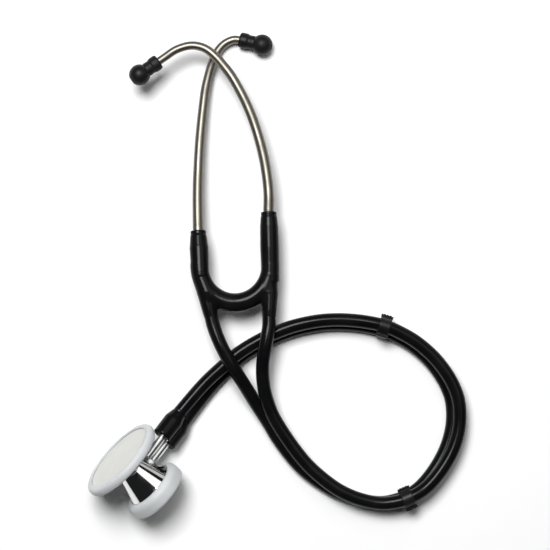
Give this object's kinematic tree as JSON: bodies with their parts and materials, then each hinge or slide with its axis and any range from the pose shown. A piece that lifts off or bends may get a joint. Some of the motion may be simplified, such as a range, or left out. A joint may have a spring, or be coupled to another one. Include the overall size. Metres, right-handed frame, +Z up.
{
  "type": "stethoscope",
  "caption": "Acoustic stethoscope with crossed metal ear tubes, a moulded U-shaped yoke, paired black hoses in a loop and a turning chestpiece with diaphragm and bell.",
  "frame": {"origin": "on the table, under the middle of the headset and chestpiece", "axes": "+Z up from the table, +Y from the chestpiece towards the ear tips, +X towards the hose loop"},
  "size_m": [0.2217, 0.2899, 0.0528],
  "materials": {
    "hose_rubber": "gloss",
    "moulded_rubber": "satin",
    "soft_tip_rubber": "matte",
    "ear_tube_steel": "satin",
    "polished_metal": "polished",
    "turned_metal": "turned",
    "spring_steel": "satin",
    "clip_plastic": "matte",
    "diaphragm_plastic": "fine matte sheet",
    "rim_rubber": "satin, pale grey",
    "seal_rubber": "satin"
  },
  "bodies": {
    "yoke_and_hoses": {"yoke_moulding": "moulded_rubber", "leaf_spring": "spring_steel", "left_hose": "hose_rubber", "right_hose": "hose_rubber", "upper_hose_clip": "clip_plastic", "lower_hose_clip": "clip_plastic", "left_hose_cuff": "hose_rubber", "right_hose_cuff": "hose_rubber", "left_stem": "polished_metal", "right_stem": "polished_metal", "valve_collar": "polished_metal", "valve_spindle": "turned_metal", "spindle_o_ring": "seal_rubber", "retaining_screw": "turned_metal"},
    "left_arm": {"left_arm_sleeve": "moulded_rubber"},
    "right_arm": {"right_arm_sleeve": "moulded_rubber"},
    "left_ear": {"left_ear_tube": "ear_tube_steel", "left_tip_ferrule": "turned_metal"},
    "right_ear": {"right_ear_tube": "ear_tube_steel", "right_tip_ferrule": "turned_metal"},
    "left_tip": {"left_ear_tip": "soft_tip_rubber"},
    "right_tip": {"right_ear_tip": "soft_tip_rubber"},
    "head": {"head_body": "polished_metal", "detent_ball": "turned_metal", "detent_spring": "spring_steel", "detent_plug": "turned_metal", "diaphragm": "diaphragm_plastic", "diaphragm_retainer": "turned_metal", "diaphragm_rim": "rim_rubber", "bell_rim": "rim_rubber"}
  },
  "joints": [
    {"name": "left_arm_flex", "type": "hinge", "parent": "yoke_and_hoses", "child": "left_arm", "pos_m": [0.0086, 0.006, 0.019], "axis": [0, 0.0976, 0.9952], "range_deg": [0, 40], "stiffness_Nm_per_rad": 1},
    {"name": "right_arm_flex", "type": "hinge", "parent": "yoke_and_hoses", "child": "right_arm", "pos_m": [0.0501, 0.006, 0.019], "axis": [0, 0, -1], "range_deg": [0, 40], "stiffness_Nm_per_rad": 1},
    {"name": "left_tube_twist", "type": "hinge", "parent": "left_arm", "child": "left_ear", "pos_m": [0.0086, 0.006, 0.019], "axis": [0.0523, -0.9939, 0.0974], "range_deg": [-5, 15]},
    {"name": "right_tube_twist", "type": "hinge", "parent": "right_arm", "child": "right_ear", "pos_m": [0.0501, 0.006, 0.019], "axis": [-0.0262, 0.9997, 0], "range_deg": [-5, 15]},
    {"name": "left_tip_pull", "type": "slide", "parent": "left_ear", "child": "left_tip", "axis": [0.9637, -0.2466, 0.1024], "range_m": [0, 0.012]},
    {"name": "right_tip_pull", "type": "slide", "parent": "right_ear", "child": "right_tip", "axis": [-0.8072, -0.589, 0.0406], "range_m": [0, 0.012]},
    {"name": "chestpiece_turn", "type": "hinge", "parent": "yoke_and_hoses", "child": "head", "pos_m": [-0.026, -0.1191, 0.0234], "axis": [0.5684, 0.7625, -0.309], "range_deg": [0, 180]}
  ]
}
